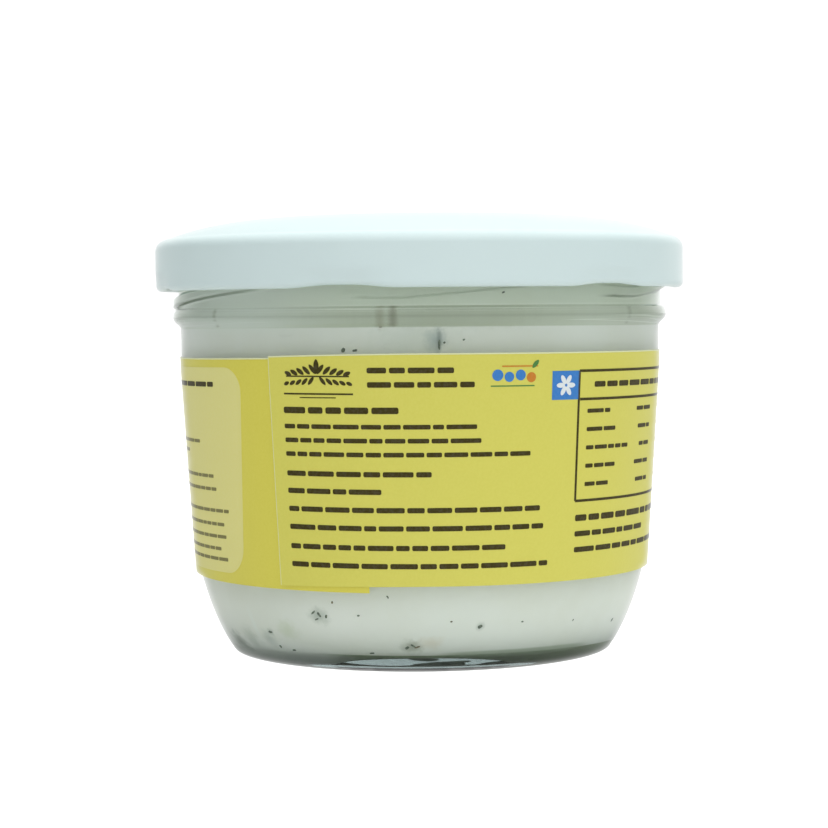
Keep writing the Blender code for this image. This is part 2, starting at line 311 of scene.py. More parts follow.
def rounded(corners, share, steps):
    """A path through corners with each inner corner rounded off over that share of its sides."""
    points = [corners[0]]
    for before, corner, after in zip(corners, corners[1:], corners[2:]):
        start = tuple(mix(c, b, share) for b, c in zip(before, corner))
        end = tuple(mix(c, a, share) for a, c in zip(after, corner))
        points += bezier((start, end), (corner, corner), steps)
    return points + [corners[-1]]


def beside(point, offset):
    return (point[0] + offset[0], point[1] + offset[1])


def line(start, end, steps):
    """Points from start to end, without the start."""
    return [tuple(mix(a, b, i / steps) for a, b in zip(start, end)) for i in range(1, steps + 1)]


def place(angle_deg, radius, height):
    turn = math.radians(angle_deg)
    return Vector((radius * math.sin(turn), -radius * math.cos(turn), height)) * MM


def from_angle(angle_deg, centre_deg):
    """How many degrees angle_deg lies past centre_deg, from -180 to 180."""
    return (angle_deg - centre_deg + 180) % 360 - 180


def mesh_object(name, builder, materials, sharp_deg=40):
    mesh = bpy.data.meshes.new(name)
    bmesh.ops.recalc_face_normals(builder, faces=builder.faces)
    builder.to_mesh(mesh)
    builder.free()
    mesh.shade_smooth()
    mesh.set_sharp_from_angle(angle=math.radians(sharp_deg))
    made = bpy.data.objects.new(name, mesh)
    for material in materials:
        mesh.materials.append(material)
    bpy.context.scene.collection.objects.link(made)
    return made


def lathe(profile, shape, segments=SEGMENTS):
    """Turns a profile of (radius, height), its ends on the axis, into a closed body.

    shape(radius, height, angle) moves each point.
    """
    body = bmesh.new()
    rings = []
    for radius, height in profile:
        if radius == 0:
            rings.append([body.verts.new((0, 0, height * MM))])
            continue
        ring = []
        for k in range(segments):
            angle = 360 * k / segments
            moved = shape(radius, height, angle)
            ring.append(body.verts.new(place(angle, *moved)))
        rings.append(ring)
    for low, high in zip(rings, rings[1:]):
        for k in range(segments):
            after = (k + 1) % segments
            corners = [low[k % len(low)], low[after % len(low)], high[after % len(high)], high[k % len(high)]]
            body.faces.new(list(dict.fromkeys(corners)))
    return body


def taper_radius(height):
    """The glass body's straight side, carried on downwards past the heel."""
    low_radius, low_height = HEEL_HIGH
    share = (min(height, TAPER_TOP) - low_height) / (TAPER_TOP - low_height)
    return mix(low_radius, BODY_RADIUS, share)


def glass_underside():
    """The push-up and the foot, from the axis out to the heel's low end."""
    push_up_edge = (PUSH_UP_RADIUS, PUSH_UP_HEIGHT)
    before_inner, after_inner = (beside(FOOT_INNER, offset) for offset in FOOT_INNER_HANDLES)
    before_foot, after_foot = (beside(FOOT, offset) for offset in FOOT_HANDLES)
    before_heel = beside(HEEL_LOW, HEEL_LOW_HANDLES[0])
    points = [(0, PUSH_UP_HEIGHT)]
    points += line(points[-1], (PUSH_UP_FLAT, PUSH_UP_HEIGHT), 8)
    points += bezier((points[-1], FOOT_INNER), (push_up_edge, before_inner), 12)[1:]
    points += bezier((FOOT_INNER, FOOT), (after_inner, before_foot), 4)[1:]
    return points + bezier((FOOT, HEEL_LOW), (after_foot, before_heel), 8)[1:]


def glass_outside():
    low, high = HEEL_LOW, HEEL_HIGH
    lean = (BODY_RADIUS - high[0]) / (TAPER_TOP - high[1])
    after_low = beside(low, HEEL_LOW_HANDLES[1])
    before_high = (high[0] - lean * HEEL_HIGH_HANDLE, high[1] - HEEL_HIGH_HANDLE)
    points = glass_underside()
    points += bezier((low, high), (after_low, before_high), 48)[1:]
    points += line(points[-1], (BODY_RADIUS, TAPER_TOP), 20)
    points += line(points[-1], (BODY_RADIUS, BEAD_LOW), 6)
    bead = [(BODY_RADIUS + out, height) for height, out in BEAD_EDGES]
    points += rounded([points[-1], *bead, (NECK_RADIUS, BEAD_HIGH)], BEAD_ROUND, 5)[1:]
    points += line(points[-1], (NECK_RADIUS, RIM_TOP - RIM_ROUND), 56)
    rim_centre = (NECK_RADIUS - RIM_ROUND, RIM_TOP - RIM_ROUND)
    return points + arc(rim_centre, (RIM_ROUND, RIM_ROUND), 0, 180, 12)[1:]


def glass_inside():
    neck = NECK_RADIUS - NECK_WALL
    side_low = taper_radius(INNER_HEEL_HEIGHT) - WALL
    ends = ((side_low, INNER_HEEL_HEIGHT), (FLOOR_RADIUS, FLOOR_HEIGHT))
    handles = ((side_low, INNER_HEEL_HEIGHT - INNER_HEEL_HANDLES[0]),
               (FLOOR_RADIUS + INNER_HEEL_HANDLES[1], FLOOR_HEIGHT))
    points = [(neck, RIM_TOP - RIM_ROUND)]
    points += line(points[-1], (neck, BEAD_HIGH), 12)
    points += line(points[-1], (BODY_RADIUS - WALL, TAPER_TOP), 12)
    points += line(points[-1], ends[0], 24)
    points += bezier(ends, handles, 36)[1:]
    return points + line(points[-1], (0, FLOOR_HEIGHT), 16)


def ridge_rise(height, angle_deg):
    """How far the slanting ridges stand out of the neck here."""
    rise = 0.0
    for start, low_end, hook in RIDGES:
        along = (angle_deg - start) % 360
        if along > RIDGE_SPAN_DEG:
            continue
        middle = low_end + RIDGE_CLIMB * along / RIDGE_SPAN_DEG + hook * smooth(1 - along / RIDGE_HOOK_DEG)
        across = abs(height - middle) / RIDGE_HALF_WIDTH
        fade = min(smooth(along / RIDGE_FADE_DEG), smooth((RIDGE_SPAN_DEG - along) / RIDGE_FADE_DEG))
        if across < 1:
            rise = max(rise, RIDGE_DEPTH * fade * smooth(RIDGE_STEEPNESS * (1 - across)))
    return rise


def glass_shape(radius, height, angle_deg):
    if radius > NECK_RADIUS - NECK_SKIN and height > BEAD_HIGH - 0.01:
        radius += ridge_rise(height, angle_deg)
    return radius, height


def ridge_flank_shade(height, angle_deg):
    """0 to 1 where a ridge's side is steep, most so on the sides of the jar: how much painted shade it gets,
    in place of the dark that its refraction gives there.
    """
    slope = abs(ridge_rise(height + 0.1, angle_deg) - ridge_rise(height - 0.1, angle_deg)) / 0.2
    start, full = FLANK_SHADE_DEG
    aside = smooth((abs(from_angle(angle_deg, 0)) - start) / (full - start))
    return min(1.0, slope / 3) * mix(FLANK_SHADE_IN_FRONT, 1.0, aside)


def make_jar():
    profile = glass_outside() + glass_inside()[1:]
    made = mesh_object("glass_jar_fine", lathe(profile, glass_shape), [glass_material()], 50)
    # How much painted shade each point on the ridges gets
    flank_shade = made.data.attributes.new("flank_shade", "FLOAT", "POINT")
    for item, vertex in zip(flank_shade.data, made.data.vertices):
        x, y, z = vertex.co / MM
        outside = z > BEAD_HIGH and math.hypot(x, y) > NECK_RADIUS - NECK_SKIN
        item.value = ridge_flank_shade(z, math.degrees(math.atan2(x, -y))) if outside else 0.0
    return made


def cheese_shape(radius, height, angle_deg):
    """Stretches the hollow underneath from front to back, round the spot where the filling touches glass.

    Its edges are ellipses. The inner ones lie a little right of the jar's middle.
    """
    if radius > HOLLOW[1] or height > FLOOR_HEIGHT + HOLLOW_HEIGHT:
        return radius, height
    outwards = (radius - HOLLOW[0]) / (HOLLOW[1] - HOLLOW[0])
    wide = mix(*HOLLOW_HALF_WIDTHS, outwards)
    shift = mix(HOLLOW_SHIFT, 0, outwards)
    right, front = math.sin(math.radians(angle_deg)), math.cos(math.radians(angle_deg))
    square = (right / wide) ** 2 + (front / radius) ** 2
    middle = shift * right / wide ** 2
    return (middle + math.sqrt(middle ** 2 + square * (1 - (shift / wide) ** 2))) / square, height


def make_cheese():
    inside = [p for p in glass_inside() if 0 < p[0] and p[1] < CHEESE_TOP]
    side = [(inside[0][0] + INTO_WALL, CHEESE_TOP)]
    side += [(radius + INTO_WALL, height - INTO_WALL / 2) for radius, height in inside]
    top = [(0, CHEESE_TOP)] + line((0, CHEESE_TOP), (side[0][0] - 1, CHEESE_TOP), 24)
    inner, outer = HOLLOW
    low, high = side[-1][1], FLOOR_HEIGHT + HOLLOW_HEIGHT
    bottom = [point for point in side if point[0] > outer] + [(outer, low), (outer - HOLLOW_SLOPE, high)]
    bottom += line(bottom[-1], (inner + HOLLOW_SLOPE, high), 6) + [(inner, low), (0, low)]
    return mesh_object("cheese_fill", lathe(top + bottom, cheese_shape), [cheese_material()], 60)


def wall_radius(height):
    """The radius of the jar's inner wall at a height."""
    wall = glass_inside()
    for (upper_radius, upper), (lower_radius, lower) in zip(wall, wall[1:]):
        if lower <= height <= upper:
            return mix(lower_radius, upper_radius, (height - lower) / max(upper - lower, 0.001))
    return FLOOR_RADIUS


def chip(body, angle_deg, height, length, width, tilt_deg):
    """A chopped bit of herb lying in the filling's face. tilt_deg runs from level to upright."""
    turn, tilt = math.radians(angle_deg), math.radians(tilt_deg)
    level = Vector((math.cos(turn), math.sin(turn), 0))
    above = place(angle_deg, wall_radius(height + 0.3), height + 0.3)
    upright = (above - place(angle_deg, wall_radius(height - 0.3), height - 0.3)).normalized()
    out = level.cross(upright)
    along = level * math.cos(tilt) + upright * math.sin(tilt)
    across = upright * math.cos(tilt) - level * math.sin(tilt)
    middle = place(angle_deg, wall_radius(height), height) + out * INTO_WALL * MM
    bend = random.uniform(-0.05, 0.05) * length
    rings = []
    for i in range(CHIP_STEPS + 1):
        share = mix(0.02, 0.98, i / CHIP_STEPS)
        half = width / 2 * (2 * math.sqrt(share * (1 - share))) ** 0.6 * random.uniform(0.8, 1.1)
        centre = middle + (along * (share - 0.5) * length + across * bend * (2 * share - 1) ** 2) * MM
        spots = []
        for k in range(CHIP_SIDES):
            side = 2 * math.pi * k / CHIP_SIDES
            reach = across * half * math.cos(side) + out * CHIP_HALF_DEPTH * math.sin(side)
            spots.append(body.verts.new(centre + reach * MM))
        rings.append(spots)
    for near, far in zip(rings, rings[1:]):
        for k in range(CHIP_SIDES):
            after = (k + 1) % CHIP_SIDES
            body.faces.new((near[k], far[k], far[after], near[after]))
    body.faces.new(rings[0])
    body.faces.new(rings[-1])


def make_chips(name, seen, others, material):
    """The chips seen from the front, and others spread round the sides and back."""
    body = bmesh.new()
    for spot in seen:
        chip(body, *spot)
    for i in range(others):
        height = random.uniform(*random.choice(FLECKED_HEIGHTS))
        length = random.uniform(0.35, 1.3)
        angle = random.uniform(*BEHIND_DEG)
        chip(body, angle, height, length, random.uniform(0.3, 0.55), random.uniform(0, 180))
    return mesh_object(name, body, [material], 60)


def lid_dome(radius):
    return LID_RING_HEIGHT + LID_DOME_RISE * (1 - (radius / LID_RING_INNER) ** LID_DOME_POWER)


def lid_profile():
    shoulder_centre = (LID_RADIUS - LID_SHOULDER[0], LID_RING_HEIGHT - LID_SHOULDER[1])
    curl_centre = (LID_RADIUS - LID_CURL, LID_BOTTOM + LID_CURL)
    inner_shoulder = [radius - LID_SHEET for radius in LID_SHOULDER]
    radii = [LID_RING_INNER * math.sin(math.radians(90 * i / 40)) for i in range(41)]
    points = [(radius, lid_dome(radius)) for radius in radii]
    points += arc(shoulder_centre, LID_SHOULDER, LID_SHOULDER_DEG, 0, 14)
    points += line(points[-1], (LID_RADIUS, curl_centre[1]), 14)
    points += arc(curl_centre, (LID_CURL, LID_CURL), 0, -LID_CURL_DEG, 20)[1:]
    points += line(points[-1], (LID_RADIUS - LID_SHEET, LID_BOTTOM + 2.3 * LID_CURL), 3)
    points += line(points[-1], (LID_RADIUS - LID_SHEET, shoulder_centre[1]), 4)
    points += arc(shoulder_centre, inner_shoulder, 0, LID_SHOULDER_DEG, 6)[1:]
    return points + [(radius, lid_dome(radius) - LID_SHEET) for radius in radii[-2::-2] + [0]]


def lid_shape(radius, height, angle_deg):
    """The lugs: the lower edge pushed inwards and up a little."""
    if radius < LID_RING_INNER:
        return radius, height
    nearest = min(abs(from_angle(angle_deg, LUG_FIRST_DEG + i * 360 / LUGS)) for i in range(LUGS))
    across = smooth(LUG_STEEPNESS * (1 - nearest / LUG_HALF_DEG))
    up = smooth(1 - (height - LID_BOTTOM - LID_CURL) / (LUG_FADE_HEIGHT - LID_CURL))
    inner = smooth((LID_RADIUS - radius) / (2 * LID_CURL))
    push = LUG_PUSH * across * up * mix(0.5, 1.0, inner)
    return radius - push, height + LUG_LIFT * across * up


def make_lid():
    return mesh_object("lid_shell", lathe(lid_profile(), lid_shape), [lid_material()], 60)


def label_lift(along_deg):
    """How far the paper's inner face stands off the glass: the starting end lies over the other end."""
    above = 2 * PAPER_GAP + PAPER
    first, last = LABEL_SETTLE_DEG
    return mix(above, PAPER_GAP, smooth((along_deg - first) / (last - first)))


def label_corner(along_deg):
    return max(0.0, 1 - along_deg / LABEL_CORNER_DEG)


def label_end(along_deg):
    return smooth(1 - (LABEL_END_DEG - LABEL_START_DEG - along_deg) / LABEL_END_SPAN)


def label_line(along_deg):
    """The height of the line that the print keeps to, which is the paper's top away from its corner."""
    turns = along_deg / (LABEL_END_DEG - LABEL_START_DEG)
    return LABEL_TOP - LABEL_DROP * turns + LABEL_END_RISE * label_end(along_deg)


def on_label(along_deg, down, off=0.0):
    """The place on the paper's outer face, down millimetres under its top line, off millimetres out."""
    height = label_line(along_deg) - down
    lean = LABEL_LEAN_DEG * label_corner(along_deg) * down / LABEL_HEIGHT
    radius = taper_radius(height) + label_lift(along_deg) + PAPER + off
    return place(LABEL_START_DEG + along_deg + lean, radius, height)


def make_label():
    body = bmesh.new()
    total = LABEL_END_DEG - LABEL_START_DEG
    steps = round(total / LABEL_STEP_DEG)
    rings = []
    for i in range(steps + 1):
        along = total * i / steps
        sag = LABEL_CORNER_SAG * label_corner(along) ** 2
        height = LABEL_HEIGHT + LABEL_END_GROWTH * label_end(along)
        downs = [sag + height * r / LABEL_ROWS for r in range(LABEL_ROWS + 1)]
        spots = [on_label(along, down) for down in downs]
        spots += [on_label(along, down, -PAPER) for down in reversed(downs)]
        rings.append([body.verts.new(spot) for spot in spots])
    count = len(rings[0])
    for near, far in zip(rings, rings[1:]):
        for k in range(count):
            after = (k + 1) % count
            face = body.faces.new((near[k], far[k], far[after], near[after]))
            face.material_index = 1 if k in (LABEL_ROWS, count - 1) else 0
    for end in (rings[0], rings[-1]):
        for k in range(LABEL_ROWS):
            face = body.faces.new((end[k], end[k + 1], end[count - 2 - k], end[count - 1 - k]))
            face.material_index = 1
    made = mesh_object("label_wrap", body, [paper_material(), paper_edge_material()], 30)
    turn = made.data.attributes.new("turn", "FLOAT", "POINT")
    for i, item in enumerate(turn.data):
        item.value = (i // count) / (steps + 1)
    return made


class Print:
    """Flat printed shapes, each a thin slab let into the paper, joined in one mesh."""

    def __init__(self):
        self.body = bmesh.new()

    def slab(self, pairs, colour, rise=PRINT_RISE):
        """A strip through pairs of (along, down) places, one on each side of it."""
        rings = []
        for first, second in pairs:
            spots = [on_label(*first, rise), on_label(*second, rise)]
            spots += [on_label(*second, -PRINT_ROOT), on_label(*first, -PRINT_ROOT)]
            rings.append([self.body.verts.new(spot) for spot in spots])
        faces = [(near[k], far[k], far[(k + 1) % 4], near[(k + 1) % 4])
                 for near, far in zip(rings, rings[1:]) for k in range(4)]
        for corners in faces + [rings[0], rings[-1]]:
            self.body.faces.new(corners).material_index = colour

    def block(self, start, end, top, bottom, colour, corner=0.0, slant=0.0, rise=PRINT_RISE):
        """A rectangle with rounded corners. slant is in degrees for each millimetre down."""
        corner_deg = corner * PRINT_DEG
        quarter = [math.sin(math.radians(90 * i / CURVE_STEPS)) for i in range(CURVE_STEPS + 1)]
        turns = quarter if corner else [1.0]
        steps = max(1, round((end - start - 2 * corner_deg) / 1.5))
        columns = [(start + corner_deg * (1 - math.cos(math.asin(t))), t) for t in turns]
        columns += [(mix(start + corner_deg, end - corner_deg, i / steps), 1.0) for i in range(1, steps)]
        columns += [(end - corner_deg * (1 - math.cos(math.asin(t))), t) for t in reversed(turns)]
        pairs = []
        for along, t in columns:
            inset = corner * (1 - t)
            high, low = top + inset, bottom - inset
            if low - high < 0.02:
                high, low = (high + low) / 2 - 0.01, (high + low) / 2 + 0.01
            pairs.append(((along + slant * high, high), (along + slant * low, low)))
        self.slab(pairs, colour, rise)

    def leaf(self, along, down, length, width, angle_deg, colour, blunt=0.8, rise=PRINT_RISE):
        """A leaf or, with the length equal to the width, a disc; (along, down) is its middle."""
        turn = math.radians(angle_deg)
        pairs = []
        for i in range(CURVE_STEPS + 1):
            share = 0.5 - 0.5 * math.cos(math.pi * i / CURVE_STEPS)
            reach = (share - 0.5) * length
            half = max(width / 2 * (2 * math.sqrt(share * (1 - share))) ** (2 - blunt), 0.015)
            ends = []
            for side in (-half, half):
                right = reach * math.cos(turn) - side * math.sin(turn)
                below = -reach * math.sin(turn) - side * math.cos(turn)
                ends.append((along + right * PRINT_DEG, down + below))
            pairs.append(tuple(ends))
        self.slab(pairs, colour, rise)

    def disc(self, along, down, across, colour):
        self.leaf(along, down, across, across, 0, colour, blunt=1.0)

    def words(self, start, end, down, tall, slant=0.0, rise=PRINT_RISE, colour=INK):
        """A line of plain bars, one for each word."""
        gap = 0.5 * tall * PRINT_DEG
        at = start
        while end - at > 0.4:
            stop = at + tall * PRINT_DEG * random.uniform(2.2, 6.0)
            if end - stop < 2.5 * tall * PRINT_DEG:
                stop = end
            self.block(at, stop, down - tall / 2, down + tall / 2, colour, 0.3 * tall, slant, rise)
            at = stop + gap


def print_edge(ink):
    """The bare edge of the paper along its top and its starting end, paler than its face."""
    end = LABEL_END_DEG - LABEL_START_DEG
    steps = round(end / LABEL_STEP_DEG)
    pairs = []
    for i in range(steps + 1):
        along = end * i / steps
        sag = LABEL_CORNER_SAG * label_corner(along) ** 2
        pairs.append(((along, sag + 0.01), (along, sag + BARE_EDGE)))
    ink.slab(pairs, PALE)
    downs = [LABEL_CORNER_SAG + mix(BARE_EDGE, LABEL_HEIGHT - 0.05, i / 8) for i in range(9)]
    ink.slab([((0.03, down), (0.03 + BARE_SIDE * PRINT_DEG, down)) for down in downs], PALE)


def print_ornament(ink):
    """A brown spray of leaves on each side of an upright one, over two rules."""
    middle, down = 12.4, 3.5
    for side in (-1, 1):
        for i in range(5):
            along = middle + side * (0.9 + 1.55 * i)
            lean = 90 - side * (38 + 7 * i)
            ink.leaf(along, down - 1.15 + 0.16 * i, 1.75 - 0.14 * i, 0.62, lean, INK)
            ink.leaf(along + side * 0.5, down + 0.55 + 0.1 * i, 1.5 - 0.14 * i, 0.55, -lean, INK)
    ink.block(middle - 7.6, middle + 7.6, down - 0.22, down - 0.02, INK)
    ink.leaf(middle, down - 1.6, 2.1, 0.8, 90, INK)
    ink.block(middle - 8.4, middle + 8.4, down + 2.35, down + 2.6, INK)
    ink.block(middle - 4.4, middle + 4.4, down + 2.95, down + 3.1, INK)


def print_colours(ink):
    """A small row of berries in blue and orange, with a green leaf, between two rules."""
    start, down = 51.2, 3.3
    for i, across in enumerate((1.7, 1.5, 1.6)):
        ink.disc(start + 1.6 + 2.7 * i, down + 0.25 * (i % 2), across, BLUE)
    ink.disc(start + 9.6, down + 0.35, 1.5, ORANGE)
    ink.block(start + 2.6, start + 11.2, down - 1.4, down - 1.22, ORANGE)
    ink.leaf(start + 10.6, down - 1.6, 1.5, 0.65, 48, GREEN)
    ink.block(start, start + 10.4, down + 1.5, down + 1.68, GREEN)


def print_square(ink):
    """A blue square with a white rosette."""
    start, end, top, bottom = 66.2, 73.7, 2.8, 7.1
    ink.block(start, end, top, bottom, BLUE)
    for i in range(6):
        turn = 60 * i
        right = 0.95 * math.cos(math.radians(turn)) * PRINT_DEG
        below = -0.95 * math.sin(math.radians(turn))
        along, down = (start + end) / 2 + right, (top + bottom) / 2 + below
        ink.leaf(along, down, 1.5, 0.75, turn, WHITE, 1.0, 1.6 * PRINT_RISE)


def print_front(ink):
    """Bars where the lines of print are, left of the table."""
    for down, end in ((2.5, 43.0), (4.6, 47.6)):
        ink.words(24.0, end, down, NUMBER_BAR)
    ink.words(MARGIN, 30.8, 8.4, HEADING_BAR)
    for i, end in enumerate((48.2, 49.2, 61.0)):
        ink.words(MARGIN, end, 10.8 + 2.05 * i, LIST_BAR)
    for down, end in ((17.8, 38.0), (20.4, 26.6), (23.1, 63.8), (25.8, 64.8), (28.7, 55.2), (31.4, 66.2)):
        ink.words(MARGIN, end, down, ADDRESS_BAR)


def print_table(ink):
    """A ruled table of two columns, and three lines under it."""
    start, end, top, bottom, rule = 73.8, 133.0, 2.85, 22.4, 0.4
    for edge in (top, bottom):
        ink.block(start, end, edge - rule / 2, edge + rule / 2, INK)
    ink.block(start + 0.4, end, 6.9, 6.9 + rule, INK)
    for edge in (start, end):
        ink.block(edge - rule * PRINT_DEG / 2, edge + rule * PRINT_DEG / 2, top, bottom, INK)
    ink.words(78.6, 127.0, 4.9, TABLE_HEADING_BAR)
    for i, name_end in enumerate((84.5, 86.8, 92.6, 87.2, 84.8)):
        down = 8.9 + 2.76 * i
        ink.words(76.6, name_end, down, CELL_BAR)
        ink.words(96.6 + 1.2 * (i % 3), 106.0, down, CELL_BAR)
        ink.words(119.5 + 1.1 * (i % 2), 129.0, down, CELL_BAR)
    for end, down, tall in ((121.0, 25.0, HEADING_BAR), (104.0, 27.4, ADVICE_BAR), (126.0, 29.8, ADVICE_BAR)):
        ink.words(74.0, end, down, tall)


def print_panel(ink):
    """The cream panel near the far end, with its lines of small print."""
    slant = -0.1
    start, end, top, bottom = 293.0, 351.3, 1.4, 33.0
    ink.block(start, end, top, bottom, CREAM, 4.0, slant)
    high = 2 * PRINT_RISE
    ink.words(start + 7.0, 340.6, 4.0, PANEL_HEADING_BAR, slant, high)
    lines = ((12.9, 332.0), (14.5, 322.0), (18.2, 339.2), (20.2, 340.4),
             (23.5, 345.8), (25.6, 343.6), (27.5, 344.4), (29.4, 341.8), (31.0, 344.9))
    for down, right in lines:
        ink.words(start + 6.0, right, down, SMALL_BAR, slant, high, FAINT)


def print_back(ink):
    """The side away from the camera: a cream panel with chive stems over two bars."""
    middle, top, bottom, high = 205.0, 3.2, 31.0, 2 * PRINT_RISE
    ink.block(middle - 34, middle + 34, top, bottom, CREAM, 6.0)
    for i in range(7):
        fan = i - 3
        long = 12.5 - 0.9 * abs(fan)
        reach = 0.5 * long * math.sin(math.radians(9 * fan))
        along = middle + (0.5 * fan + reach) * PRINT_DEG
        ink.leaf(along, 17.6 - long / 2, long, 0.75, 90 - 9 * fan, GREEN, 0.9, high)
    ink.block(middle - 19, middle + 19, 20.4, 22.4, INK, 0.8, 0.0, high)
    ink.block(middle - 12, middle + 12, 24.2, 25.2, INK, 0.4, 0.0, high)


def make_print():
    ink = Print()
    front = (print_ornament, print_colours, print_square, print_front, print_table)
    for draw in (*front, print_panel, print_back, print_edge):
        draw(ink)
    materials = [ink_material(name, colour) for name, colour in INKS.items()]
    return mesh_object("label_print", ink.body, materials, 30)


class Nodes:
    """The nodes of a material or a world, made and joined by short calls."""

    def __init__(self, tree):
        self.nodes = tree.nodes
        self.links = tree.links

    def feed(self, socket, value):
        """Joins a socket to another one's value, or sets it to a number or a colour."""
        if isinstance(value, bpy.types.NodeSocket):
            self.links.new(value, socket)
        else:
            socket.default_value = (*value, 1) if isinstance(value, tuple) else value

    def ramp(self, source, low, high, start=0.0, end=1.0):
        node = self.nodes.new("ShaderNodeMapRange")
        node.interpolation_type = "SMOOTHSTEP"
        self.links.new(source, node.inputs["Value"])
        settings = {"From Min": low, "From Max": high, "To Min": start, "To Max": end}
        for name, value in settings.items():
            node.inputs[name].default_value = value
        return node.outputs["Result"]

    def math(self, operation, first, second):
        node = self.nodes.new("ShaderNodeMath")
        node.operation = operation
        self.links.new(first, node.inputs[0])
        self.links.new(second, node.inputs[1])
        return node.outputs[0]

    def part(self, vector, axis):
        node = self.nodes.new("ShaderNodeSeparateXYZ")
        self.links.new(vector, node.inputs[0])
        return node.outputs[axis]

    def length(self, vector):
        node = self.nodes.new("ShaderNodeVectorMath")
        node.operation = "LENGTH"
        self.links.new(vector, node.inputs[0])
        return node.outputs["Value"]

    def ray(self, kind):
        return self.nodes.new("ShaderNodeLightPath").outputs[kind]

    def choose(self, share, first, second):
        """Mixes two surfaces or backgrounds."""
        node = self.nodes.new("ShaderNodeMixShader")
        for socket, source in zip(node.inputs, (share, first, second)):
            self.links.new(source, socket)
        return node.outputs[0]


class Shader(Nodes):
    """A material round one principled surface."""

    def __init__(self, name):
        self.material = bpy.data.materials.new(name)
        self.material.use_nodes = True
        super().__init__(self.material.node_tree)
        self.principled = self.nodes["Principled BSDF"]
        self.output = self.nodes["Material Output"]
        self.where = self.nodes.new("ShaderNodeTexCoord").outputs["Object"]

    def put(self, **values):
        for name, value in values.items():
            self.feed(self.principled.inputs[name.replace("_", " ")], value)

    def noise(self, scale, detail):
        node = self.nodes.new("ShaderNodeTexNoise")
        node.inputs["Scale"].default_value = scale
        node.inputs["Detail"].default_value = detail
        node.inputs["Roughness"].default_value = NOISE_ROUGHNESS
        self.links.new(self.where, node.inputs["Vector"])
        return node.outputs["Fac"]

    def blend(self, share, first, second, mode="MIX"):
        node = self.nodes.new("ShaderNodeMix")
        node.data_type = "RGBA"
        node.blend_type = mode
        for socket, value in zip((node.inputs[0], node.inputs[6], node.inputs[7]), (share, first, second)):
            self.feed(socket, value)
        return node.outputs[2]

    def attribute(self, name):
        node = self.nodes.new("ShaderNodeAttribute")
        node.attribute_name = name
        return node.outputs["Fac"]

    def axis(self, name):
        return self.part(self.where, name)

    def spot(self, angle_deg, height, half_width, half_height, half_depth=4.0):
        """0 in the middle of a patch on the jar's inner wall, rising to 1 at its edge and past that."""
        near = self.nodes.new("ShaderNodeMapping")
        near.vector_type = "TEXTURE"
        near.inputs["Location"].default_value = place(angle_deg, wall_radius(height), height)
        near.inputs["Rotation"].default_value = (0, 0, math.radians(angle_deg))
        near.inputs["Scale"].default_value = (half_width * MM, half_depth * MM, half_height * MM)
        self.links.new(self.where, near.inputs["Vector"])
        return self.length(near.outputs[0])

    def bump(self, source, strength, distance):
        node = self.nodes.new("ShaderNodeBump")
        node.inputs["Strength"].default_value = strength
        node.inputs["Distance"].default_value = distance
        self.links.new(source, node.inputs["Height"])
        self.links.new(node.outputs[0], self.principled.inputs["Normal"])

    def absorb(self, colour, density):
        """Long ways through the glass come out darker and bluer than short ones. Set far stronger than in
        real glass, it stands in for the shade seen through the thick base.
        """
        volume = self.nodes.new("ShaderNodeVolumeAbsorption")
        volume.inputs["Color"].default_value = (*colour, 1)
        volume.inputs["Density"].default_value = density
        self.feed(self.output.inputs["Volume"], volume.outputs[0])

    def let_lamps_through(self, tint):
        """Soft light passes the glass as if it were clear film, so that what it holds is lit cleanly."""
        either = self.math("MAXIMUM", self.ray("Is Shadow Ray"), self.ray("Is Diffuse Ray"))
        clear = self.nodes.new("ShaderNodeBsdfTransparent")
        self.feed(clear.inputs["Color"], tint)
        choice = self.choose(either, self.principled.outputs[0], clear.outputs[0])
        self.feed(self.output.inputs["Surface"], choice)


def glass_material():
    shader = Shader("jar_glass")
    height = shader.axis("Z")
    colour = (0.975, 0.995, 0.97)
    # Painted shade lines along the bead
    for middle, half, depth in BEAD_PAINTED_SHADE_LINES:
        rise = shader.ramp(height, (middle - half) * MM, middle * MM, 0.0, depth)
        fall = shader.ramp(height, middle * MM, (middle + half) * MM, 1.0, 0.0)
        colour = shader.blend(shader.math("MULTIPLY", rise, fall), colour, (0.25, 0.28, 0.2))
    # Painted shade on the ridges' steep sides, in place of the dark that their refraction gives.
    colour = shader.blend(shader.attribute("flank_shade"), colour, (0.2, 0.23, 0.16))
    shader.put(Base_Color=colour, Roughness=0.0, IOR=1.5, Transmission_Weight=1.0)
    shader.bump(shader.noise(60, 2), 0.15, 0.0004)
    shader.absorb((0.40, 0.48, 0.49), 38.0)
    shader.let_lamps_through((0.93, 0.97, 0.94))
    return shader.material


